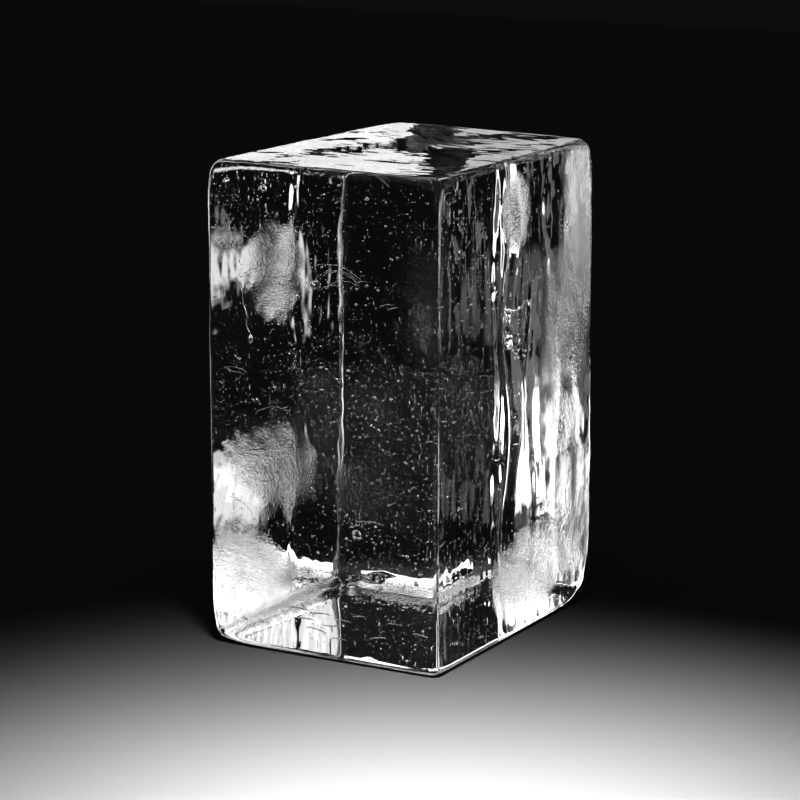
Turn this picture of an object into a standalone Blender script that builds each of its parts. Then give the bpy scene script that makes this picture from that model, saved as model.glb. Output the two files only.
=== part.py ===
"""A clear block of ice that stands on end, about 240 mm tall, made as one solid.

It is a cuboid that froze a little out of true: each of its eight corners has its own small offset.
Melting has rounded its edges, and its corners more. Its top and sides carry soft melt relief, with
runnels down the right side and a shallow basin on top, and its base is flat.
The front is -Y, the right side is +X, and the block rests on Z = 0 with its middle at X = Y = 0.
"""

import math

import bmesh
import bpy
from mathutils import Vector, noise

# Driving dimensions, in metres.
WIDTH = 0.126  # along X
DEPTH = 0.168  # along Y
HEIGHT = 0.240  # along Z
HALF = Vector((WIDTH / 2, DEPTH / 2, HEIGHT / 2))

# How far each corner lies from the true cuboid's, keyed by the signs of its X, Y and Z.
CORNER_OFFSETS = {
    (-1, -1, 1): Vector((-0.0017, -0.0012, -0.0005)),
    (1, -1, 1): Vector((0.0, 0.0, -0.0005)),
    (1, 1, 1): Vector((-0.0026, -0.0014, -0.0004)),
    (-1, 1, 1): Vector((0.0043, 0.0026, 0.0012)),
    (-1, -1, -1): Vector((-0.0026, -0.0014, 0.0)),
    (1, -1, -1): Vector((0.0, 0.0, 0.0)),
    (1, 1, -1): Vector((-0.0017, -0.0014, 0.0)),
    (-1, 1, -1): Vector((0.0020, 0.0010, 0.0)),
}

# Radii of the rounded edges. An upright edge is keyed by the signs of its X and Y.
UPRIGHT_RADII = {(-1, -1): 0.0036, (1, -1): 0.0028, (1, 1): 0.0040, (-1, 1): 0.0048}
TOP_RADIUS = 0.0036
BASE_RADIUS = 0.0038

# What melting added to the radii at each corner, by its signs, and how far along the edges it reaches.
CORNER_MELT = {
    (-1, -1, 1): (0.0034, 0.013),
    (1, -1, 1): (0.0042, 0.011),
    (1, 1, 1): (0.0036, 0.014),
    (-1, 1, 1): (0.0034, 0.016),
    (-1, -1, -1): (0.0046, 0.014),
    (1, -1, -1): (0.0014, 0.010),
    (1, 1, -1): (0.0082, 0.018),
    (-1, 1, -1): (0.0050, 0.018),
}

# Melt runnels down the right side: the Y of the centre line, the half width, the depth,
# the sweep and the phase of the meander, and the heights between which it runs.
RUNNELS = [
    (-0.044, 0.0036, 0.00035, 0.0020, 5.2, 0.060, 0.232),
    (-0.028, 0.0034, 0.00045, 0.0026, 0.4, 0.010, 0.236),
    (-0.011, 0.0040, 0.00150, 0.0042, 1.9, -0.030, 0.280),
    (0.000, 0.0044, -0.00070, 0.0036, 1.4, 0.020, 0.225),
    (0.012, 0.0038, 0.00085, 0.0030, 4.1, 0.006, 0.190),
    (0.028, 0.0050, 0.00060, 0.0048, 5.0, 0.050, 0.238),
    (0.045, 0.0042, 0.00080, 0.0034, 0.9, 0.016, 0.170),
    (0.061, 0.0048, -0.00055, 0.0040, 3.3, 0.030, 0.232),
]
MEANDER = 0.110  # length of one bend of a runnel
RUNNEL_FADE = 0.024  # a runnel's ends fade out over this height

# Shallow hollows, and swellings with a depth below 0: the face's outward direction,
# the middle measured from the base's centre, the reach along X, Y and Z, and the depth.
HOLLOWS = [
    ((0, -1, 0), (-0.040, 0.0, 0.180), (0.018, 1.0, 0.026), 0.00065),
    ((0, -1, 0), (-0.034, 0.0, 0.084), (0.022, 1.0, 0.030), 0.00075),
    ((0, -1, 0), (0.022, 0.0, 0.120), (0.026, 1.0, 0.050), -0.00045),
    ((1, 0, 0), (0.0, 0.054, 0.160), (1.0, 0.020, 0.034), 0.00070),
    ((1, 0, 0), (0.0, -0.058, 0.090), (1.0, 0.018, 0.050), 0.00040),
    ((-1, 0, 0), (0.0, -0.036, 0.190), (1.0, 0.028, 0.022), 0.00085),
    ((-1, 0, 0), (0.0, 0.030, 0.120), (1.0, 0.034, 0.030), 0.00080),
    ((-1, 0, 0), (0.0, -0.020, 0.052), (1.0, 0.030, 0.026), 0.00095),
    ((0, 1, 0), (0.018, 0.0, 0.196), (0.024, 1.0, 0.028), 0.00080),
    ((0, 1, 0), (-0.026, 0.0, 0.098), (0.028, 1.0, 0.034), 0.00075),
    ((0, 1, 0), (0.030, 0.0, 0.040), (0.020, 1.0, 0.024), 0.00080),
    ((0, 0, 1), (0.016, 0.022, 0.0), (0.026, 0.042, 1.0), 0.00130),
    ((0, 0, 1), (0.030, -0.058, 0.0), (0.020, 0.022, 1.0), 0.00060),
    ((0, 0, 1), (-0.036, -0.016, 0.0), (0.018, 0.046, 1.0), -0.00050),
]

# Waves that cover the melted faces: their length and height, broad ones and ripples.
WAVES = [(0.046, 0.00055), (0.017, 0.00016)]

# Spacing of the surface's grid, the part of an end that the rounding takes, and its steps in 45 degrees.
STEP_X = 0.0070
STEP_Y = 0.0050
STEP_Z = 0.0092
END_ZONE = 0.0048
ROUND_STEPS = 2

FLAT = 0.999  # a face counts as the base where its outward direction is this close to straight down


def smooth_step(low, high, value):
    """0 below low, 1 above high, and an even rise between them."""
    share = min(1.0, max(0.0, (value - low) / (high - low)))
    return share * share * (3 - 2 * share)


def cut_places(half, step):
    """Places along one axis where the cuboid is cut: close together in the end zones, even between them."""
    angles = [math.radians(45 * k / ROUND_STEPS) for k in range(ROUND_STEPS)]
    ends = [half - END_ZONE * (1 - math.tan(angle)) for angle in angles]
    inner = half - END_ZONE
    count = round(2 * inner / step)
    between = [-inner + 2 * inner * k / count for k in range(1, count)]
    return [-place for place in reversed(ends)] + between + ends


def gridded_cuboid():
    """The true cuboid, centred on the origin, with its faces cut into a grid."""
    bm = bmesh.new()
    bmesh.ops.create_cube(bm, size=1.0)
    bmesh.ops.scale(bm, vec=(WIDTH, DEPTH, HEIGHT), verts=bm.verts)
    for axis, half, step in zip(((1, 0, 0), (0, 1, 0), (0, 0, 1)), HALF, (STEP_X, STEP_Y, STEP_Z)):
        for place in cut_places(half, step):
            everything = bm.verts[:] + bm.edges[:] + bm.faces[:]
            bmesh.ops.bisect_plane(bm, geom=everything, plane_co=Vector(axis) * place, plane_no=axis)
    return bm


def radii_at(point):
    """Radii of the upright and the level rounding nearest a point, eased from corner to corner."""
    right = smooth_step(-HALF.x, HALF.x, point.x)
    back = smooth_step(-HALF.y, HALF.y, point.y)
    front_radius = UPRIGHT_RADII[-1, -1] * (1 - right) + UPRIGHT_RADII[1, -1] * right
    back_radius = UPRIGHT_RADII[-1, 1] * (1 - right) + UPRIGHT_RADII[1, 1] * right
    upright = front_radius * (1 - back) + back_radius * back
    level = TOP_RADIUS if point.z > 0 else BASE_RADIUS
    for signs, (growth, reach) in CORNER_MELT.items():
        away = (point - Vector(s * h for s, h in zip(signs, HALF))).length
        extra = growth * math.exp(-((away / reach) ** 2))
        upright += extra
        level += extra
    return Vector((upright, upright, level))


def rounded(point):
    """Where a point of the true cuboid goes on the rounded one, and the outward direction there."""
    radii = radii_at(point)
    inner = [h - END_ZONE for h in HALF]
    held = [max(-i, min(i, p)) for p, i in zip(point, inner)]
    outward = Vector((p - c) / END_ZONE for p, c in zip(point, held)).normalized()
    core = [c * (h - r) / i for c, h, r, i in zip(held, HALF, radii, inner)]
    return Vector(c + o * r for c, o, r in zip(core, outward, radii)), outward


def out_of_true(place):
    """How far the block's skew moves a place, from the offsets of the eight corners."""
    moved = Vector()
    for signs, offset in CORNER_OFFSETS.items():
        moved += offset * math.prod((1 + s * p / h) / 2 for s, p, h in zip(signs, place, HALF))
    return moved


def runnel_relief(place):
    """Height of the right side's surface where melt water has run down it."""
    z = place.z + HALF.z
    height = 0.0
    for middle, half_width, depth, sweep, phase, low, high in RUNNELS:
        centre = middle + sweep * math.sin(2 * math.pi * z / MEANDER + phase)
        across = math.exp(-(((place.y - centre) / half_width) ** 2))
        along = smooth_step(low, low + RUNNEL_FADE, z) * (1 - smooth_step(high - RUNNEL_FADE, high, z))
        height -= depth * across * along
    return height


def hollow_relief(place, outward):
    """Height of the shallow hollows and swellings, each on the face that it belongs to."""
    from_base = place + Vector((0, 0, HALF.z))
    height = 0.0
    for direction, middle, reach, depth in HOLLOWS:
        facing = max(0.0, outward.dot(Vector(direction)))
        gap = sum(((p - m) / r) ** 2 for p, m, r, d in zip(from_base, middle, reach, direction) if not d)
        height -= depth * facing**2 * math.exp(-gap)
    return height


def wave_relief(place):
    """Height of the waves and ripples of the melted skin."""
    return sum(size * noise.noise(place / length) for length, size in WAVES)


def melted(point):
    """The final place of a point of the true cuboid."""
    place, outward = rounded(point)
    height = wave_relief(place) + hollow_relief(place, outward)
    height += runnel_relief(place) * max(0.0, outward.x) ** 2
    above_base = smooth_step(-HALF.z, -HALF.z + 2 * BASE_RADIUS, place.z)
    return place + outward * height * above_base + out_of_true(place)


def stand(bm, under):
    """The underside's faces made one flat face at Z = 0, with the block's middle over the origin."""
    low = [min(v.co[k] for v in bm.verts) for k in range(2)]
    high = [max(v.co[k] for v in bm.verts) for k in range(2)]
    shift = Vector((-(low[0] + high[0]) / 2, -(low[1] + high[1]) / 2, HALF.z))
    bmesh.ops.translate(bm, vec=shift, verts=bm.verts)
    for vert in {v for face in under for v in face.verts}:
        vert.co.z = 0.0
    bmesh.ops.dissolve_faces(bm, faces=under, use_verts=True)


def ice_material():
    material = bpy.data.materials.new("clear_ice")
    material.use_nodes = True
    shader = material.node_tree.nodes["Principled BSDF"]
    shader.inputs["Base Color"].default_value = (0.95, 0.96, 0.97, 1.0)
    shader.inputs["Roughness"].default_value = 0.05
    shader.inputs["Metallic"].default_value = 0.0
    shader.inputs["Transmission Weight"].default_value = 1.0
    shader.inputs["IOR"].default_value = 1.31
    return material


def ice_block():
    bm = gridded_cuboid()
    is_base = {vert: rounded(vert.co)[1].z < -FLAT for vert in bm.verts}
    under = [face for face in bm.faces if all(is_base[vert] for vert in face.verts)]
    for vert in bm.verts:
        vert.co = melted(vert.co)
    stand(bm, under)
    bmesh.ops.triangulate(bm, faces=bm.faces)
    mesh = bpy.data.meshes.new("ice_block")
    bm.to_mesh(mesh)
    bm.free()
    mesh.shade_smooth()
    mesh.materials.append(ice_material())
    block = bpy.data.objects.new("ice_block", mesh)
    bpy.context.scene.collection.objects.link(block)


for leftover in list(bpy.data.objects):
    bpy.data.objects.remove(leftover)
ice_block()
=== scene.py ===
"""A clear block of ice that stands on end on a pale floor."""

import math

import bmesh
import bpy
import numpy as np
from mathutils import Euler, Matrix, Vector, noise


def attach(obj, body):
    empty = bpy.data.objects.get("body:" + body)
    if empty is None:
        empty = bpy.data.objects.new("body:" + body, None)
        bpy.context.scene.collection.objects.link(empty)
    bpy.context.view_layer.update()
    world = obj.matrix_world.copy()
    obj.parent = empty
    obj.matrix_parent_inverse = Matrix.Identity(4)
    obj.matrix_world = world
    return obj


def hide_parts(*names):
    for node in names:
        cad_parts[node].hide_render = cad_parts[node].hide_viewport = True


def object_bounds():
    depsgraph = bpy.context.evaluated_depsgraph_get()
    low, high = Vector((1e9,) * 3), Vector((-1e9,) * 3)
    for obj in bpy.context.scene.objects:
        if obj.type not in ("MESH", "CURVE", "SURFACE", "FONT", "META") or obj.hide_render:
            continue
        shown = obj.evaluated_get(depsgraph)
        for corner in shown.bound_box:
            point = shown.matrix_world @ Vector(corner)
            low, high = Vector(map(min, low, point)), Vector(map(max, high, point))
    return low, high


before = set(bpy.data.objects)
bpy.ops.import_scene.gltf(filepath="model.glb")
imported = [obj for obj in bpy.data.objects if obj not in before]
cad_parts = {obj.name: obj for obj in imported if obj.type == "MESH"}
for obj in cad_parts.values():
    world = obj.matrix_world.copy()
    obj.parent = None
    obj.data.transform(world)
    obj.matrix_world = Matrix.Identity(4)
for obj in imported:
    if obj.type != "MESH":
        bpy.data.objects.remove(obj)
cad_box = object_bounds()

# ---------------------------------------------------------------- the block's form, as the solid has it
# Half the width, depth and height, and how far the block's middle lies from the true cuboid's.
HALF = np.array((0.063, 0.084, 0.120))
MIDDLE_SHIFT = np.array((0.00110, -0.00048, 0.120))

# The corners by the signs of their X, Y and Z, and how far each lies from the true cuboid's.
SIGNS = [(x, y, z) for z in (1, -1) for x, y in ((-1, -1), (1, -1), (1, 1), (-1, 1))]
CORNER_OFFSETS = dict(zip(SIGNS, [
    (-0.0017, -0.0012, -0.0005), (0.0, 0.0, -0.0005), (-0.0026, -0.0014, -0.0004), (0.0043, 0.0026, 0.0012),
    (-0.0026, -0.0014, 0.0), (0.0, 0.0, 0.0), (-0.0017, -0.0014, 0.0), (0.0020, 0.0010, 0.0)]))

# Radii of the rounded edges, and what melting added at each corner and how far along the edges it reaches.
UPRIGHT_RADII = {(-1, -1): 0.0036, (1, -1): 0.0028, (1, 1): 0.0040, (-1, 1): 0.0048}
TOP_RADIUS = 0.0036
BASE_RADIUS = 0.0038
CORNER_MELT = dict(zip(SIGNS, [
    (0.0034, 0.013), (0.0042, 0.011), (0.0036, 0.014), (0.0034, 0.016),
    (0.0046, 0.014), (0.0014, 0.010), (0.0082, 0.018), (0.0050, 0.018)]))

# Melt runnels down the right side: the Y of the centre line, the half width, the depth,
# the sweep and the phase of the meander, and the heights between which it runs.
RUNNELS = [
    (-0.044, 0.0036, 0.00035, 0.0020, 5.2, 0.060, 0.232),
    (-0.028, 0.0034, 0.00045, 0.0026, 0.4, 0.010, 0.236),
    (-0.011, 0.0040, 0.00150, 0.0042, 1.9, -0.030, 0.280),
    (0.000, 0.0044, -0.00070, 0.0036, 1.4, 0.020, 0.225),
    (0.012, 0.0038, 0.00085, 0.0030, 4.1, 0.006, 0.190),
    (0.028, 0.0050, 0.00060, 0.0048, 5.0, 0.050, 0.238),
    (0.045, 0.0042, 0.00080, 0.0034, 0.9, 0.016, 0.170),
    (0.061, 0.0048, -0.00055, 0.0040, 3.3, 0.030, 0.232),
]
MEANDER = 0.110  # length of one bend of a runnel
RUNNEL_FADE = 0.024  # a runnel's ends fade out over this height

# Shallow hollows, and swellings with a depth below 0: the face's outward direction,
# the middle measured from the base's centre, the reach along X, Y and Z, and the depth.
HOLLOWS = [
    ((0, -1, 0), (-0.040, 0.0, 0.180), (0.018, 1.0, 0.026), 0.00065),
    ((0, -1, 0), (-0.034, 0.0, 0.084), (0.022, 1.0, 0.030), 0.00075),
    ((0, -1, 0), (0.022, 0.0, 0.120), (0.026, 1.0, 0.050), -0.00045),
    ((1, 0, 0), (0.0, 0.054, 0.160), (1.0, 0.020, 0.034), 0.00070),
    ((1, 0, 0), (0.0, -0.058, 0.090), (1.0, 0.018, 0.050), 0.00040),
    ((-1, 0, 0), (0.0, -0.036, 0.190), (1.0, 0.028, 0.022), 0.00085),
    ((-1, 0, 0), (0.0, 0.030, 0.120), (1.0, 0.034, 0.030), 0.00080),
    ((-1, 0, 0), (0.0, -0.020, 0.052), (1.0, 0.030, 0.026), 0.00095),
    ((0, 1, 0), (0.018, 0.0, 0.196), (0.024, 1.0, 0.028), 0.00080),
    ((0, 1, 0), (-0.026, 0.0, 0.098), (0.028, 1.0, 0.034), 0.00075),
    ((0, 1, 0), (0.030, 0.0, 0.040), (0.020, 1.0, 0.024), 0.00080),
    ((0, 0, 1), (0.016, 0.022, 0.0), (0.026, 0.042, 1.0), 0.00130),
    ((0, 0, 1), (0.030, -0.058, 0.0), (0.020, 0.022, 1.0), 0.00060),
    ((0, 0, 1), (-0.036, -0.016, 0.0), (0.018, 0.046, 1.0), -0.00050),
]

# Waves that cover the melted faces: their length and height.
WAVES = [(0.046, 0.00055), (0.017, 0.00016)]
END_ZONE = 0.0048  # the part of an end of the grid that the rounding takes

# The left face's one runnel: its middle across the face, its half width and its depth.
LEFT_RUNNEL_MIDDLE = 0.017
LEFT_RUNNEL_HALF_WIDTH = 0.0056
LEFT_RUNNEL_DEPTH = 0.00062

# ---------------------------------------------------------------- the fine surface's grid
GRID_COUNTS = (88, 140, 108)  # cells along X, Y and Z between the rounded ends
ROUND_STEPS = 4  # steps in each 45 degrees of a rounded edge

# ---------------------------------------------------------------- air and frost in the ice
SPECK_COUNT = 1700
SPECK_RADIUS = 0.00025  # the middle one of the specks' radii
SPECK_RADIUS_LIMITS = (0.00013, 0.0008)
SKIN_MARGINS = (0.008, 0.008, 0.006)  # how far the air all through the block stays from its sides
SKIN_DEPTH = 0.0050  # no speck of the clusters lies closer to its face than this
NEAR_FACE_SPECKS = [  # face, middle across and up, spread, depth, count
    ("front", (-0.030, 0.205), (0.020, 0.022), 0.010, 90),
    ("front", (-0.008, 0.180), (0.014, 0.022), 0.008, 70),
    ("front", (-0.002, 0.095), (0.016, 0.030), 0.012, 170),
    ("front", (0.032, 0.086), (0.013, 0.014), 0.006, 150),
    ("front", (0.020, 0.069), (0.006, 0.002), 0.003, 40),
    ("front", (-0.044, 0.060), (0.010, 0.012), 0.006, 90),
    ("front", (0.020, 0.020), (0.030, 0.008), 0.008, 90),
    ("right", (-0.050, 0.120), (0.022, 0.080), 0.012, 260),
    ("right", (-0.004, 0.214), (0.009, 0.012), 0.004, 90),
    ("right", (0.040, 0.160), (0.024, 0.030), 0.010, 110),
    ("right", (0.030, 0.060), (0.030, 0.026), 0.010, 160),
]
EDGE_SPECKS = [  # start, end and count of each row of bubbles frozen in near a base edge
    ((-0.052, 0.0785, 0.0062), (0.048, 0.0785, 0.0062), 300),
    ((-0.0575, -0.070, 0.0062), (-0.0575, 0.072, 0.0062), 120),
]
EDGE_SPECK_STRAY = (0.0006, 0.0006, 0.0009)  # how far from that line they lie along each axis
CORNER_MARGIN = 0.009  # how far the clusters stay from the edges of their face
NEEDLE_COUNT = 190
BUBBLE_COUNT = 70
RING_BUBBLES = [  # place and radii of the larger, flattened bubbles
    ((-0.0337, -0.0790, 0.2277), (0.0021, 0.0009, 0.0021)),
    ((0.0172, -0.0785, 0.0632), (0.0027, 0.0010, 0.0028)),
    ((-0.0048, -0.0790, 0.1835), (0.0030, 0.0007, 0.0024)),
    ((-0.0416, -0.0795, 0.1537), (0.0012, 0.0008, 0.0024)),
    ((0.0600, -0.0180, 0.0990), (0.0010, 0.0022, 0.0045)),
    ((0.0275, -0.0700, 0.0368), (0.0016, 0.0012, 0.0010)),
    ((0.0465, -0.0700, 0.0418), (0.0012, 0.0010, 0.0014)),
]
CRACKS = [  # middle, half-sizes, turn about X, Y and Z in degrees, bend, ripples
    ((0.0250, 0.0300, 0.1500), (0.0140, 0.0200), (70, 15, 60), 0.0050, 3),
    ((0.0450, 0.0500, 0.0500), (0.0120, 0.0080), (75, 5, 70), 0.0030, 2),
    ((0.0480, 0.0200, 0.0300), (0.0140, 0.0060), (20, 25, 40), 0.0030, 2),
    ((-0.0100, 0.0000, 0.0250), (0.0200, 0.0120), (12, 10, 0), 0.0030, 2),
]
CRACK_RINGS = 6
CRACK_SPOKES = 20
CRACK_GAP = 0.00022  # half the opening at a crack's middle
ARCS = [  # middle, reach across, drop at the ends, turn in degrees, radius
    ((0.0060, -0.0790, 0.1890), 0.0150, 0.0050, 8, 0.00030),
    ((0.0080, -0.0785, 0.1868), 0.0120, 0.0046, 4, 0.00026),
    ((0.0060, -0.0780, 0.1848), 0.0130, 0.0058, -2, 0.00028),
    ((0.0100, -0.0780, 0.1826), 0.0100, 0.0040, -6, 0.00024),
    ((0.0050, -0.0775, 0.1804), 0.0080, 0.0036, 2, 0.00022),
    ((0.0190, -0.0770, 0.1842), 0.0060, 0.0026, -24, 0.00024),
    ((0.0345, -0.0790, 0.1768), 0.0040, 0.0008, -10, 0.00030),
    ((0.0385, -0.0790, 0.1760), 0.0022, 0.0004, -14, 0.00026),
    ((0.0325, -0.0790, 0.2350), 0.0034, 0.0006, 36, 0.00026),
    ((0.0250, -0.0790, 0.0702), 0.0076, 0.0008, 2, 0.00034),
    ((0.0170, -0.0780, 0.0668), 0.0040, 0.0012, -4, 0.00022),
    ((-0.0510, -0.0785, 0.1372), 0.0066, 0.0016, 6, 0.00026),
    ((-0.0400, -0.0790, 0.0930), 0.0090, 0.0030, 16, 0.00024),
    ((-0.0330, -0.0780, 0.0860), 0.0070, -0.0020, -20, 0.00024),
    ((-0.0490, -0.0790, 0.0700), 0.0080, 0.0020, 30, 0.00026),
    ((-0.0300, -0.0785, 0.1180), 0.0100, 0.0034, -8, 0.00022),
    ((-0.0060, -0.0780, 0.0120), 0.0060, 0.0010, 12, 0.00036),
    ((0.0030, -0.0780, 0.0165), 0.0050, -0.0008, -6, 0.00030),
    ((0.0070, -0.0780, 0.0095), 0.0040, 0.0006, 4, 0.00034),
    ((0.0290, -0.0780, 0.0130), 0.0046, 0.0008, -8, 0.00036),
    ((0.0520, -0.0780, 0.0180), 0.0040, 0.0006, 10, 0.00034),
    ((-0.0160, -0.0780, 0.0215), 0.0066, 0.0008, 4, 0.00040),
    ((-0.0120, -0.0780, 0.0170), 0.0050, 0.0005, 2, 0.00036),
    ((-0.0040, -0.0780, 0.0205), 0.0060, 0.0007, -3, 0.00038),
    ((0.0100, -0.0780, 0.0190), 0.0036, 0.0006, 6, 0.00034),
    ((0.0180, -0.0780, 0.0225), 0.0030, 0.0004, -4, 0.00032),
    ((0.0380, -0.0780, 0.0215), 0.0040, 0.0005, 3, 0.00030),
]
TUBE_SIDES = 4
THREADS = [  # radius, then the points a fine channel of air runs through
    (0.00030, [(-0.0473, -0.080, 0.1792), (-0.0452, -0.079, 0.1700), (-0.0440, -0.079, 0.1610),
               (-0.0414, -0.0795, 0.1545)]),
    (0.00022, [(-0.0565, -0.080, 0.1383), (-0.0520, -0.079, 0.1366), (-0.0456, -0.079, 0.1360)]),
    (0.00026, [(-0.0585, -0.080, 0.2065), (-0.0545, -0.079, 0.2062), (-0.0500, -0.079, 0.2045)]),
    (0.00022, [(-0.0545, -0.079, 0.2060), (-0.0520, -0.079, 0.2100), (-0.0512, -0.079, 0.2130)]),
    (0.00026, [(0.0590, -0.0124, 0.2330), (0.0588, -0.0150, 0.2160), (0.0590, -0.0140, 0.2000),
               (0.0586, -0.0180, 0.1800), (0.0590, -0.0165, 0.1650)]),
    (0.00022, [(0.0590, -0.0200, 0.0800), (0.0585, -0.0190, 0.0600), (0.0590, -0.0230, 0.0350)]),
]
FROST = [  # each patch's middle, its reach along each axis and its share of full frost
    ((0.063, 0.062, 0.052), (0.012, 0.030, 0.034), 0.90),
    ((0.063, 0.010, 0.030), (0.012, 0.036, 0.022), 0.80),
    ((0.063, 0.050, 0.100), (0.012, 0.022, 0.018), 0.55),
    ((0.063, -0.004, 0.214), (0.010, 0.014, 0.018), 0.80),
    ((0.063, 0.052, 0.150), (0.008, 0.030, 0.040), 0.55),
    ((0.063, 0.068, 0.225), (0.008, 0.024, 0.022), 0.45),
    ((0.065, 0.070, 0.180), (0.008, 0.016, 0.050), 0.80),
    ((-0.026, -0.084, 0.190), (0.016, 0.008, 0.026), 0.28),
    ((-0.028, -0.084, 0.092), (0.026, 0.008, 0.024), 0.40),
    ((-0.045, -0.084, 0.040), (0.026, 0.008, 0.024), 0.45),
    ((0.032, -0.084, 0.086), (0.022, 0.008, 0.020), 0.42),
    ((0.054, -0.084, 0.180), (0.012, 0.008, 0.040), 0.40),
    ((-0.030, 0.084, 0.001), (0.040, 0.006, 0.0055), 1.10),
    ((-0.063, 0.020, 0.001), (0.006, 0.080, 0.0055), 1.10),
    ((0.040, 0.084, 0.190), (0.024, 0.008, 0.030), 0.45),
]


def smooth_step(low, high, value):
    share = np.clip((value - low) / (high - low), 0.0, 1.0)
    return share * share * (3 - 2 * share)


def lattice_lines(count):
    """For the lines across one axis: where each is held between -1 and 1, and how far it spreads beyond."""
    ends = np.tan(np.radians(45 * np.arange(1, ROUND_STEPS + 1) / ROUND_STEPS))
    held = np.concatenate((-np.ones(ROUND_STEPS), np.linspace(-1, 1, count + 1), np.ones(ROUND_STEPS)))
    spread = np.concatenate((-ends[::-1], np.zeros(count + 1), ends))
    return held, spread


def cuboid_lattice():
    """The lattice points on the cuboid's six sides, as held and spread triples, and the quads on them."""
    lines = [lattice_lines(count) for count in GRID_COUNTS]
    sizes = [len(held) for held, _ in lines]
    code = np.arange(math.prod(sizes)).reshape(sizes)
    quads = []
    for axis in range(3):
        for side in (0, -1):
            sheet = np.take(code, side, axis=axis)
            a, b, c, d = sheet[:-1, :-1], sheet[1:, :-1], sheet[1:, 1:], sheet[:-1, 1:]
            turned = (side == 0) != (axis == 1)
            corners = (a, d, c, b) if turned else (a, b, c, d)
            quads.append(np.stack(corners, axis=-1).reshape(-1, 4))
    quads = np.concatenate(quads)
    inner = code[ROUND_STEPS:-ROUND_STEPS, ROUND_STEPS:-ROUND_STEPS, 0]
    quads = quads[~np.isin(quads, inner).all(axis=1)]
    rim = np.concatenate((inner[0, :-1], inner[:-1, -1], inner[-1, :0:-1], inner[:0:-1, 0]))
    used, index = np.unique(quads, return_inverse=True)
    base = np.searchsorted(used, rim)
    place = np.unravel_index(used, sizes)
    held = np.stack([lines[k][0][place[k]] for k in range(3)], axis=1)
    spread = np.stack([lines[k][1][place[k]] for k in range(3)], axis=1)
    return held, spread, index.reshape(-1, 4).tolist() + [base.tolist()]


def radii_at(points):
    right = smooth_step(-HALF[0], HALF[0], points[:, 0])
    back = smooth_step(-HALF[1], HALF[1], points[:, 1])
    front_radius = UPRIGHT_RADII[-1, -1] * (1 - right) + UPRIGHT_RADII[1, -1] * right
    back_radius = UPRIGHT_RADII[-1, 1] * (1 - right) + UPRIGHT_RADII[1, 1] * right
    upright = front_radius * (1 - back) + back_radius * back
    level = np.where(points[:, 2] > 0, TOP_RADIUS, BASE_RADIUS)
    for signs, (growth, reach) in CORNER_MELT.items():
        away = np.linalg.norm(points - np.array(signs) * HALF, axis=1)
        extra = growth * np.exp(-((away / reach) ** 2))
        upright = upright + extra
        level = level + extra
    return np.stack((upright, upright, level), axis=1)


def noise_field(points, scale, offset=(0, 0, 0)):
    """Blender's noise at each point, with its features scale metres long along each axis."""
    at = points / np.array(scale) + np.array(offset)
    return np.array([noise.noise(p) for p in at.tolist()])


def runnel_relief(y, z):
    height = np.zeros(len(y))
    for middle, half_width, depth, sweep, phase, low, high in RUNNELS:
        centre = middle + sweep * np.sin(2 * np.pi * z / MEANDER + phase)
        across = np.exp(-(((y - centre) / half_width) ** 2))
        along = smooth_step(low, low + RUNNEL_FADE, z) * (1 - smooth_step(high - RUNNEL_FADE, high, z))
        height -= depth * across * along
    return height


def hollow_relief(from_base, outward):
    height = np.zeros(len(from_base))
    for direction, middle, reach, depth in HOLLOWS:
        facing = np.maximum(0.0, outward @ np.array(direction))
        gap = (((from_base - middle) / reach) ** 2)[:, np.array(direction) == 0].sum(axis=1)
        height -= depth * facing**2 * np.exp(-gap)
    return height


def out_of_true(places):
    moved = np.zeros_like(places)
    for signs, offset in CORNER_OFFSETS.items():
        share = np.prod((1 + np.array(signs) * places / HALF) / 2, axis=1)
        moved += share[:, None] * np.array(offset)
    return moved


def left_runnel_depth(place, from_base, broad, streaks, bumps):
    middle = LEFT_RUNNEL_MIDDLE + 0.0024 * np.sin(from_base[:, 2] / 0.017) + 0.003 * broad
    across = (place[:, 1] - middle) / LEFT_RUNNEL_HALF_WIDTH
    depth = LEFT_RUNNEL_DEPTH * (1 + 0.8 * broad) + 0.00045 * streaks + 0.0003 * bumps
    return np.exp(-(across**2)) * depth


def fine_relief(place, from_base, outward):
    """Height of the fine melt texture, in metres, which differs from side to side."""
    front, back = np.maximum(0, -outward[:, 1]) ** 2, np.maximum(0, outward[:, 1]) ** 2
    left, right = np.maximum(0, -outward[:, 0]) ** 2, np.maximum(0, outward[:, 0]) ** 2
    top = np.maximum(0, outward[:, 2]) ** 2
    streaks = noise_field(place, (0.004, 0.0042, 0.030), (3, 1, 7))
    fine_streaks = noise_field(place, (0.0026, 0.0026, 0.014), (9, 4, 2))
    bumps = noise_field(place, (0.0058, 0.0058, 0.0058), (5, 8, 1))
    broad = noise_field(place, (0.011, 0.011, 0.016), (4, 1, 3))
    scrapes = noise_field(place, (0.016, 0.0045, 0.01), (2, 2, 6))
    near_front = 1 - smooth_step(-0.045, 0.0, place[:, 1])
    near_back = smooth_step(0.040, 0.070, place[:, 1])
    wet_side = smooth_step(-0.060, 0.060, place[:, 0] + 0.5 * place[:, 1])
    left_runnel = left_runnel_depth(place, from_base, broad, streaks, bumps)
    return (right * ((0.5 + 0.5 * near_front) * 0.00022 * streaks + 0.00008 * fine_streaks
                     + (0.00012 + 0.00020 * near_back) * bumps)
            + left * (0.00012 * bumps + 0.00004 * streaks - left_runnel)
            + back * (0.00004 * streaks + 0.00020 * bumps + 0.00020 * broad)
            + front * (0.00005 * bumps)
            + top * (0.00005 * (1 + wet_side) * scrapes + 0.00004 * bumps))


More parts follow.
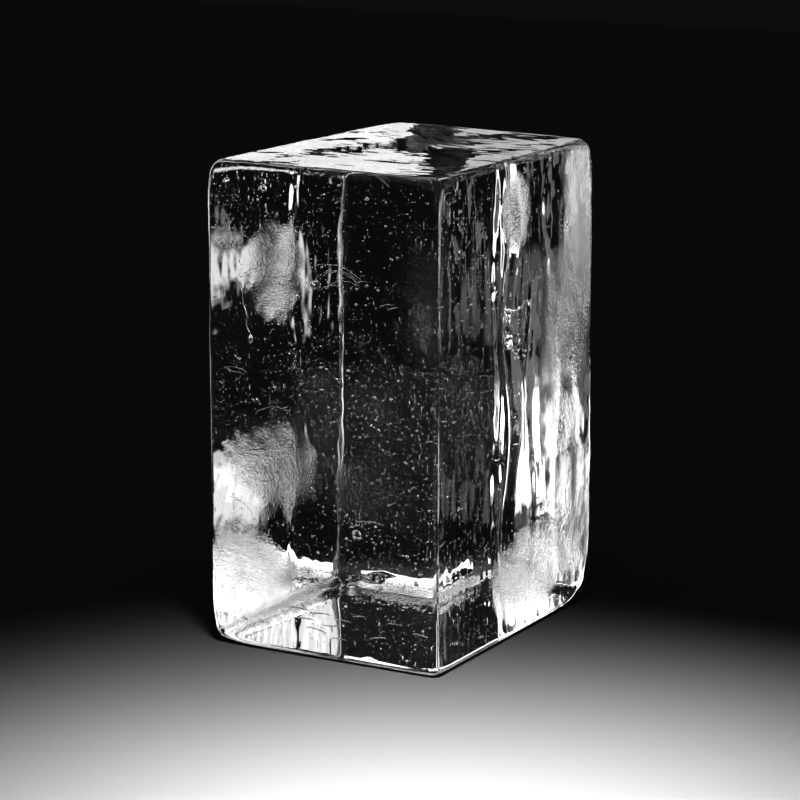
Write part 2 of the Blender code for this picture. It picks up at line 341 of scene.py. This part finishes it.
def ice_surface():
    """Places and quads of the block's melted skin."""
    held, spread, quads = cuboid_lattice()
    points = held * (HALF - END_ZONE) + spread * END_ZONE
    outward = spread / np.linalg.norm(spread, axis=1)[:, None]
    radii = radii_at(points)
    place = held * (HALF - radii) + outward * radii
    from_base = place + (0, 0, HALF[2])
    height = sum(size * noise_field(place, (length,) * 3) for length, size in WAVES)
    height += hollow_relief(from_base, outward)
    height += runnel_relief(place[:, 1], from_base[:, 2]) * np.maximum(0, outward[:, 0]) ** 2
    height += fine_relief(place, from_base, outward)
    above_base = smooth_step(-HALF[2], -HALF[2] + 2 * BASE_RADIUS, place[:, 2])
    place = place + outward * (height * above_base)[:, None] + out_of_true(place)
    place += MIDDLE_SHIFT
    low, high = (np.array(corner) for corner in cad_box)
    return np.clip(place, low, high), quads


# ---------------------------------------------------------------- air inside the ice
def ball(fineness):
    """Places and faces of a unit ball whose faces look inwards, as the wall of a bubble does."""
    bm = bmesh.new()
    bmesh.ops.create_icosphere(bm, subdivisions=fineness, radius=1.0)
    places = np.array([v.co for v in bm.verts])
    faces = np.array([[v.index for v in reversed(f.verts)] for f in bm.faces])
    bm.free()
    return places, faces


def turn_matrices(angles):
    """Rotation matrices from rows of angles about X, Y and Z."""
    return np.array([Euler(row).to_matrix() for row in angles])


def scattered(form, centres, sizes, angles):
    """Copies of a form: one at each centre, with its own size along each axis and its own turn."""
    places, faces = form
    sized = places[None] * sizes[:, None]
    copies = np.einsum("nij,nkj->nki", turn_matrices(angles), sized) + centres[:, None]
    numbered = faces[None] + (np.arange(len(centres)) * len(places))[:, None, None]
    return copies.reshape(-1, 3), numbered.reshape(-1, faces.shape[1]).tolist()


def inside_block(random, count):
    """Random places inside the block, clear of its skin."""
    spread = HALF - np.array(SKIN_MARGINS)
    return random.uniform(-1, 1, (count, 3)) * spread + MIDDLE_SHIFT


def diamond():
    """A unit octahedron that looks inwards, enough for a bubble of a quarter of a millimetre."""
    places = np.array([(1, 0, 0), (-1, 0, 0), (0, 1, 0), (0, -1, 0), (0, 0, 1), (0, 0, -1)], float)
    faces = [(x, y, z) if sign else (y, x, z) for x in (0, 1) for y in (2, 3) for z in (4, 5)
             for sign in [(x + y + z) % 2 == 1]]
    return places, np.array(faces)


def random_turns(random, count):
    return random.uniform(0, 2 * math.pi, (count, 3))


def speck_sizes(random, count):
    radius = random.lognormal(math.log(SPECK_RADIUS), 0.50, count).clip(*SPECK_RADIUS_LIMITS)
    return radius[:, None] * random.uniform(0.7, 1.5, (count, 3))


def on_face(face, across, up, depth):
    """Places at a depth below the front or the right face."""
    if face == "front":
        return np.stack((across, MIDDLE_SHIFT[1] - HALF[1] + depth, up), axis=1)
    return np.stack((MIDDLE_SHIFT[0] + HALF[0] - depth, across, up), axis=1)


def near_face_specks(random, face, middle, spread, depth, count):
    """A cloud of places under one face, held clear of the melted corners."""
    reach = (HALF[0] if face == "front" else HALF[1]) - CORNER_MARGIN
    across = random.normal(middle[0], spread[0], count).clip(-reach, reach)
    up = random.normal(middle[1], spread[1], count).clip(CORNER_MARGIN, 2 * HALF[2] - CORNER_MARGIN)
    return on_face(face, across, up, random.uniform(SKIN_DEPTH, SKIN_DEPTH + depth, count))


def edge_specks(random, start, end, count):
    """Places strewn close to a line near one of the base edges."""
    share = random.uniform(0, 1, count)[:, None]
    line = np.array(start) * (1 - share) + np.array(end) * share
    return line + random.normal(0, 1, (count, 3)) * EDGE_SPECK_STRAY


def specks(random):
    centres = [inside_block(random, SPECK_COUNT)]
    centres += [near_face_specks(random, *cluster) for cluster in NEAR_FACE_SPECKS]
    centres += [edge_specks(random, *row) for row in EDGE_SPECKS]
    centres = np.concatenate(centres)
    count = len(centres)
    return scattered(diamond(), centres, speck_sizes(random, count), random_turns(random, count))


def needles(random):
    """Upright slivers of air under the right face, most of them near the front edge."""
    across = -0.080 + 0.150 * random.beta(1.1, 2.6, NEEDLE_COUNT)
    up = random.uniform(0.012, 0.230, NEEDLE_COUNT)
    centres = on_face("right", across, up, random.uniform(0.003, 0.016, NEEDLE_COUNT))
    width = random.uniform(0.00014, 0.00032, NEEDLE_COUNT)
    length = random.uniform(0.0006, 0.0034, NEEDLE_COUNT)
    turns = random.normal(0, 0.09, (NEEDLE_COUNT, 3))
    return scattered(ball(1), centres, np.stack((width, width, length), axis=1), turns)


def bubbles(random):
    radius = random.uniform(0.0004, 0.0010, BUBBLE_COUNT)
    sizes = radius[:, None] * random.uniform(0.7, 1.3, (BUBBLE_COUNT, 3))
    centres = inside_block(random, BUBBLE_COUNT)
    return scattered(ball(2), centres, sizes, random_turns(random, BUBBLE_COUNT))


def ring_bubbles():
    centres = np.array([place for place, _ in RING_BUBBLES])
    sizes = np.array([radii for _, radii in RING_BUBBLES])
    return scattered(ball(3), centres, sizes, np.zeros((len(centres), 3)))


def crack_sheet(random, half_size, bend, ripples):
    """Rings of points on a ragged bent sheet, and how far out each lies, up to 1."""
    share = np.repeat(np.arange(1, CRACK_RINGS + 1) / CRACK_RINGS, CRACK_SPOKES)
    angle = np.tile(np.arange(CRACK_SPOKES) * 2 * math.pi / CRACK_SPOKES, CRACK_RINGS)
    notches = random.uniform(0.35, 1.1, CRACK_SPOKES)
    ragged = np.tile((notches + np.roll(notches, 1)) / 2, CRACK_RINGS)
    ragged = ragged * random.uniform(0.93, 1.07, CRACK_RINGS * CRACK_SPOKES)
    across = half_size[0] * share * ragged * np.cos(angle)
    along = half_size[1] * share * ragged * np.sin(angle)
    waves = 0.05 * bend * ripples * np.cos(2 * math.pi * ripples * share)
    lift = bend * share**2 * np.cos(angle) + waves
    return np.stack((across, along, lift), axis=1), share


def crack(random, middle, half_size, turn, bend, ripples):
    """A thin bent sheet of air with rings of ripples, as a shell-shaped crack has."""
    sheet, share = crack_sheet(random, half_size, bend, ripples)
    depth = CRACK_GAP * (1 - share**2)[:, None] * np.array((0, 0, 1))
    inner, inner_depth, rim = sheet[:-CRACK_SPOKES], depth[:-CRACK_SPOKES], sheet[-CRACK_SPOKES:]
    tops = np.concatenate(([(0, 0, sheet[0, 2] + CRACK_GAP)], inner + inner_depth, rim))
    lows = np.concatenate(([(0, 0, sheet[0, 2] - CRACK_GAP)], inner - inner_depth))
    top_rings = [[1 + ring * CRACK_SPOKES + k for k in range(CRACK_SPOKES)] for ring in range(CRACK_RINGS)]
    low_rings = [[len(tops) + point for point in ring] for ring in top_rings[:-1]] + top_rings[-1:]
    faces = fan(0, top_rings) + [face[::-1] for face in fan(len(tops), low_rings)]
    turned = np.concatenate((tops, lows)) @ np.array(Euler(np.radians(turn)).to_matrix()).T
    return turned + np.array(middle), faces


def fan(centre, rings):
    """Faces from a centre out through rings of points, looking down."""
    count = len(rings[0])
    faces = [[centre, rings[0][(k + 1) % count], rings[0][k]] for k in range(count)]
    for near, far in zip(rings, rings[1:]):
        faces += [[near[k], near[(k + 1) % count], far[(k + 1) % count], far[k]] for k in range(count)]
    return faces


def wavering_line(points):
    """A wavering line through the points, and how many of them each place has passed."""
    line = np.array(points)
    passed = np.linspace(0, len(line) - 1, 5 * len(line))
    path = np.stack([np.interp(passed, np.arange(len(line)), line[:, k]) for k in range(3)], axis=1)
    path[:, 0] += 0.0004 * np.sin(passed * 5)
    path[:, 1] += 0.0004 * np.cos(passed * 4)
    return path, passed


def tube(path, radii):
    """A closed tube about a path, whose faces look inwards."""
    run = np.gradient(path, axis=0)
    run /= np.linalg.norm(run, axis=1)[:, None]
    side = np.cross(run, (0.0, 0.31, 0.95) if abs(run[len(run) // 2, 2]) < 0.7 else (1.0, 0.1, 0.0))
    side /= np.linalg.norm(side, axis=1)[:, None]
    other = np.cross(run, side)
    places = []
    for k, reach in enumerate(radii):
        places += [path[k] + reach * (math.cos(a) * side[k] + math.sin(a) * other[k])
                   for a in np.arange(TUBE_SIDES) * 2 * math.pi / TUBE_SIDES]
    faces = [[k for k in range(TUBE_SIDES)], [len(places) - 1 - k for k in range(TUBE_SIDES)]]
    for row in range(len(path) - 1):
        for k in range(TUBE_SIDES):
            a, b = row * TUBE_SIDES + k, row * TUBE_SIDES + (k + 1) % TUBE_SIDES
            faces.append([a, a + TUBE_SIDES, b + TUBE_SIDES, b])
    return np.array(places), faces


def thread(radius, points):
    """A fine closed channel through the points, which swells and narrows."""
    path, passed = wavering_line(points)
    taper = np.sin(np.pi * passed / passed[-1]) ** 0.3 + 0.02
    return tube(path, radius * (0.55 + 0.45 * np.abs(np.sin(passed * 7))) * taper)


def arc(middle, reach, drop, turn, radius):
    """A bow-shaped crack front, seen as one bright curved line."""
    share = np.linspace(-1, 1, 7)
    across = reach * share
    up = drop * (1 - share**2) + 0.1 * drop * np.sin(9 * share)
    a = math.radians(turn)
    turned_across = across * math.cos(a) + up * math.sin(a)
    turned_up = up * math.cos(a) - across * math.sin(a)
    places = np.stack((turned_across, 0.0012 * share, turned_up), axis=1) + np.array(middle)
    return thread(radius, places.tolist())


def voids(random):
    parts = [specks(random), needles(random), bubbles(random), ring_bubbles()]
    parts += [crack(random, *row) for row in CRACKS]
    parts += [arc(*row) for row in ARCS]
    parts += [thread(*row) for row in THREADS]
    return parts


def joined(parts):
    """Several (places, faces) made one."""
    places, faces, start = [], [], 0
    for some_places, some_faces in parts:
        places.append(some_places)
        faces += [[start + k for k in face] for face in some_faces]
        start += len(some_places)
    return np.concatenate(places), faces


def mesh_object(name, places, faces, material):
    mesh = bpy.data.meshes.new(name)
    mesh.from_pydata(places.tolist(), [], faces)
    for polygon in mesh.polygons:
        polygon.use_smooth = polygon.loop_total < 8
    mesh.materials.append(material)
    thing = bpy.data.objects.new(name, mesh)
    bpy.context.scene.collection.objects.link(thing)
    return thing


# ---------------------------------------------------------------- materials
ICE_IOR = 1.31
FROST_ROUGHNESS = 0.10  # the roughness where the frost is full
RELIEF_HEIGHT = 0.0008  # the height that 1 stands for in the bump
GRIT_SHARE = 1.7  # the frost's grain, as a share of that height
PIT_SHARE = 0.5  # the pits' depth, as a share of it
FLOOR_GREY = 0.72


def add_node(tree, kind, settings=(), **inputs):
    """A node with its settings and inputs; an input that is a socket is linked, and others are set."""
    node = tree.nodes.new(kind)
    for name, value in dict(settings).items():
        setattr(node, name, value)
    for name, value in inputs.items():
        socket = node.inputs[int(name[1:])] if name[0] == "_" else node.inputs[name]
        if isinstance(value, bpy.types.NodeSocket):
            tree.links.new(value, socket)
        else:
            socket.default_value = value
    return node


def math_node(tree, operation, a, b, clamp=False):
    settings = {"operation": operation, "use_clamp": clamp}
    return add_node(tree, "ShaderNodeMath", settings, _0=a, _1=b).outputs[0]


def vector_node(tree, operation, a, b):
    return add_node(tree, "ShaderNodeVectorMath", {"operation": operation}, _0=a, _1=b).outputs[0]


def noise_node(tree, where, scale, detail, rough):
    node = add_node(tree, "ShaderNodeTexNoise", Vector=where, Scale=scale, Detail=detail, Roughness=rough)
    return node.outputs["Fac"]


def evened(tree, value, strength):
    """A noise's value set evenly about 0 and made stronger."""
    return math_node(tree, "MULTIPLY", math_node(tree, "SUBTRACT", value, 0.5), strength)


def frost_mask(tree, where):
    """How frosted each place is, from 0 to 1, with ragged edges."""
    mask = 0.0
    for middle, reach, share in FROST:
        apart = vector_node(tree, "SUBTRACT", where, middle)
        scaled = vector_node(tree, "DIVIDE", apart, reach)
        far = add_node(tree, "ShaderNodeVectorMath", {"operation": "LENGTH"}, _0=scaled).outputs["Value"]
        near = math_node(tree, "SUBTRACT", 1.15, far)
        patch = math_node(tree, "MULTIPLY", near, share)
        mask = math_node(tree, "MAXIMUM", patch, mask)
    broad = evened(tree, noise_node(tree, where, 70, 5, 0.6), 2.4)
    fine = evened(tree, noise_node(tree, where, 420, 3, 0.6), 1.4)
    ragged = math_node(tree, "ADD", math_node(tree, "ADD", broad, fine), 0.75, clamp=True)
    return math_node(tree, "MULTIPLY", math_node(tree, "MULTIPLY", ragged, mask), 1.4, clamp=True)


def pit_layer(tree, where, scale, width, share):
    """Small round pits in a random share of cells."""
    cells = add_node(tree, "ShaderNodeTexVoronoi", Vector=where, Scale=scale)
    chance = add_node(tree, "ShaderNodeSeparateColor", Color=cells.outputs["Color"]).outputs["Red"]
    crowded = math_node(tree, "MULTIPLY", noise_node(tree, where, 55, 3, 0.5), 2 * share)
    kept = math_node(tree, "LESS_THAN", chance, crowded)
    far = math_node(tree, "DIVIDE", cells.outputs["Distance"], width)
    depth = math_node(tree, "SUBTRACT", 1.0, far, clamp=True)
    return math_node(tree, "MULTIPLY", depth, kept)


def pits(tree, where):
    """Pits and upright nicks that make the skin glint."""
    drawn_out = vector_node(tree, "MULTIPLY", where, (1, 1, 0.22))
    round_pits = pit_layer(tree, where, 600, 0.18, 0.13)
    nicks = pit_layer(tree, drawn_out, 640, 0.20, 0.10)
    return math_node(tree, "MAXIMUM", round_pits, nicks)


def ice_material():
    material = bpy.data.materials.new("clear_ice")
    material.use_nodes = True
    tree = material.node_tree
    shader = tree.nodes["Principled BSDF"]
    shader.inputs["Base Color"].default_value = (1.0, 1.0, 1.0, 1.0)
    shader.inputs["Transmission Weight"].default_value = 1.0
    shader.inputs["IOR"].default_value = ICE_IOR
    where = tree.nodes.new("ShaderNodeTexCoord").outputs["Object"]
    frost = frost_mask(tree, where)
    tree.links.new(math_node(tree, "MULTIPLY", frost, FROST_ROUGHNESS), shader.inputs["Roughness"])
    grain = noise_node(tree, where, 1000, 2, 0.6)
    grit = math_node(tree, "MULTIPLY", grain, math_node(tree, "MULTIPLY", frost, GRIT_SHARE))
    relief = math_node(tree, "SUBTRACT", grit, math_node(tree, "MULTIPLY", pits(tree, where), PIT_SHARE))
    bump = add_node(tree, "ShaderNodeBump", Strength=1.0, Distance=RELIEF_HEIGHT, Height=relief)
    tree.links.new(bump.outputs["Normal"], shader.inputs["Normal"])
    absorb = add_node(tree, "ShaderNodeVolumeAbsorption", Color=(0.86, 0.92, 0.95, 1.0), Density=0.4)
    tree.links.new(absorb.outputs["Volume"], tree.nodes["Material Output"].inputs["Volume"])
    return material


def floor_material():
    material = bpy.data.materials.new("pale_floor")
    material.use_nodes = True
    shader = material.node_tree.nodes["Principled BSDF"]
    shader.inputs["Base Color"].default_value = (FLOOR_GREY,) * 3 + (1,)
    shader.inputs["Roughness"].default_value = 0.9
    shader.inputs["Specular IOR Level"].default_value = 0.0
    return material


# ---------------------------------------------------------------- stage: only two lamps light the floor
FLOOR_REACH = 3.0
FLOOR_GAP = 0.0006  # the floor lies this far under the block
CAMERA_PLACE = (0.73658, -1.28064, 0.43776)
CAMERA_TURN = 30.08  # degrees about Z, from looking along +Y
CAMERA_DIP = 12.41  # degrees below the level
CAMERA_LENS = 135.5  # millimetres, on a sensor 36 wide
WORLD_GREY = 0.004
TOP_LOOK = 0.235  # the height that the lamps for the top aim at


def floor():
    corners = [(-1, -1), (1, -1), (1, 1), (-1, 1)]
    places = np.array([(x * FLOOR_REACH, y * FLOOR_REACH, -FLOOR_GAP) for x, y in corners])
    piece = mesh_object("floor", places, [(0, 1, 2, 3)], floor_material())


def fade_out(light, share):
    """The lamp's glow falls to nothing at its borders, over this share of the way from its middle."""
    light.use_nodes = True
    tree = light.node_tree
    place = tree.nodes.new("ShaderNodeNewGeometry").outputs["Parametric"]
    parts = add_node(tree, "ShaderNodeSeparateXYZ", Vector=place).outputs
    strength = 1.0
    for part in (parts["X"], parts["Y"]):
        from_middle = math_node(tree, "SUBTRACT", math_node(tree, "MULTIPLY", part, 2.0), 1.0)
        away = math_node(tree, "ABSOLUTE", from_middle, 0.0)
        fade = add_node(tree, "ShaderNodeMapRange", {"interpolation_type": "SMOOTHSTEP"},
                        _0=away, _1=1.0, _2=1.0 - share).outputs[0]
        strength = math_node(tree, "MULTIPLY", fade, strength)
    tree.links.new(strength, tree.nodes["Emission"].inputs["Strength"])


def soft_light(name, azimuth, elevation, distance, size, glow, look_at=(0, 0, 0.12), spread=180, fade=0.0,
               on_floor=False):
    """A rectangular lamp that faces a point from a direction in degrees, azimuth 0 being the back (+Y)."""
    light = bpy.data.lights.new(name, "AREA")
    light.shape = "RECTANGLE"
    light.size, light.size_y = size
    light.energy = glow * math.pi * size[0] * size[1]
    light.spread = math.radians(spread)
    if fade:
        fade_out(light, fade)
    lamp = bpy.data.objects.new(name, light)
    a, e = math.radians(azimuth), math.radians(elevation)
    away = Vector((math.sin(a) * math.cos(e), math.cos(a) * math.cos(e), math.sin(e)))
    lamp.location = Vector(look_at) + away * distance
    lamp.rotation_euler = away.to_track_quat("Z", "Y").to_euler()
    lamp.visible_camera = False
    lamp.visible_diffuse = on_floor
    bpy.context.scene.collection.objects.link(lamp)


def camera():
    data = bpy.data.cameras.new("camera")
    data.lens = CAMERA_LENS
    data.sensor_width = 36
    eye = bpy.data.objects.new("camera", data)
    eye.location = CAMERA_PLACE
    eye.rotation_euler = Euler((math.radians(90 - CAMERA_DIP), 0, math.radians(CAMERA_TURN)))
    bpy.context.scene.collection.objects.link(eye)
    bpy.context.scene.camera = eye


def lamps():
    """Each one's name, azimuth, elevation, distance, size and glow, then the point it faces."""
    soft_light("pool", 150, 90, 0.7, (0.25, 0.25), 4.0, (0.20, -0.32, 0), spread=45, on_floor=True)
    soft_light("corner_spot", 0, 90, 0.4, (0.06, 0.06), 0.25, (-0.060, 0.085, 0), spread=8, on_floor=True)
    soft_light("back_edge_bar", 0, 0, 0.014, (0.116, 0.004), 2.0, (0.0, 0.0860, 0.0022))
    soft_light("left_edge_bar", -90, 0, 0.014, (0.080, 0.004), 2.0, (-0.0645, 0.054, 0.0022))
    soft_light("top_sheen", -30, 8.2, 3.0, (0.90, 0.24), 2.0, (-0.37, -0.215, TOP_LOOK))
    soft_light("top_sheen_right", -30, 8.2, 3.0, (0.50, 0.24), 1.1, (0.29, 0.168, TOP_LOOK))
    soft_light("overhead", -30, 75, 0.8, (0.5, 0.5), 3.0)
    soft_light("strip_right_back", 32, 0, 0.35, (0.13, 0.070), 0.8, (0.002, -0.001, 0.112), fade=0.6)
    soft_light("low_right_back", 32, 0, 0.25, (0.14, 0.030), 0.6, (0.009, -0.005, 0.012), fade=0.4)
    soft_light("near_right_back", 32, 0, 0.05, (0.096, 0.045), 0.85, (0.0356, 0.072, 0.024), fade=0.6)
    soft_light("high_right_back", 32, 0, 0.8, (0.12, 0.16), 0.8, (-0.03, 0.02, 0.26))
    soft_light("panel_left", -82, 0, 0.35, (0.16, 0.24), 0.14, (0.01, 0.10, 0.12))
    soft_light("low_left", -135, 0, 0.10, (0.18, 0.090), 1.3, (-0.079, 0.086, 0.040), spread=90, fade=0.5)
    soft_light("rim_back", 12, 14, 0.7, (0.22, 0.5), 6, fade=0.8)
    soft_light("low_rim_back", -2, 0, 0.17, (0.07, 0.14), 1.5, (-0.030, 0.084, 0.058), fade=1.0)
    soft_light("rim_left", -56, 14, 0.7, (0.20, 0.5), 1.6)
    soft_light("rim_right", 100, 8, 0.7, (0.3, 0.4), 0.3)
    soft_light("rim_right_back", 62, 8, 0.7, (0.2, 0.4), 1.8)


def surroundings():
    world = bpy.data.worlds.new("studio")
    world.use_nodes = True
    world.node_tree.nodes["Background"].inputs["Color"].default_value = (WORLD_GREY,) * 3 + (1,)
    scene = bpy.context.scene
    scene.world = world
    scene.view_settings.view_transform = "Standard"
    scene.cycles.caustics_refractive = False
    scene.cycles.caustics_reflective = False


camera()
floor()
lamps()
surroundings()

random = np.random.default_rng(7)
places, faces = joined([ice_surface()] + voids(random))
ice = mesh_object("ice_block_clear", places, faces, ice_material())
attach(ice, "root")
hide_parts("ice_block")
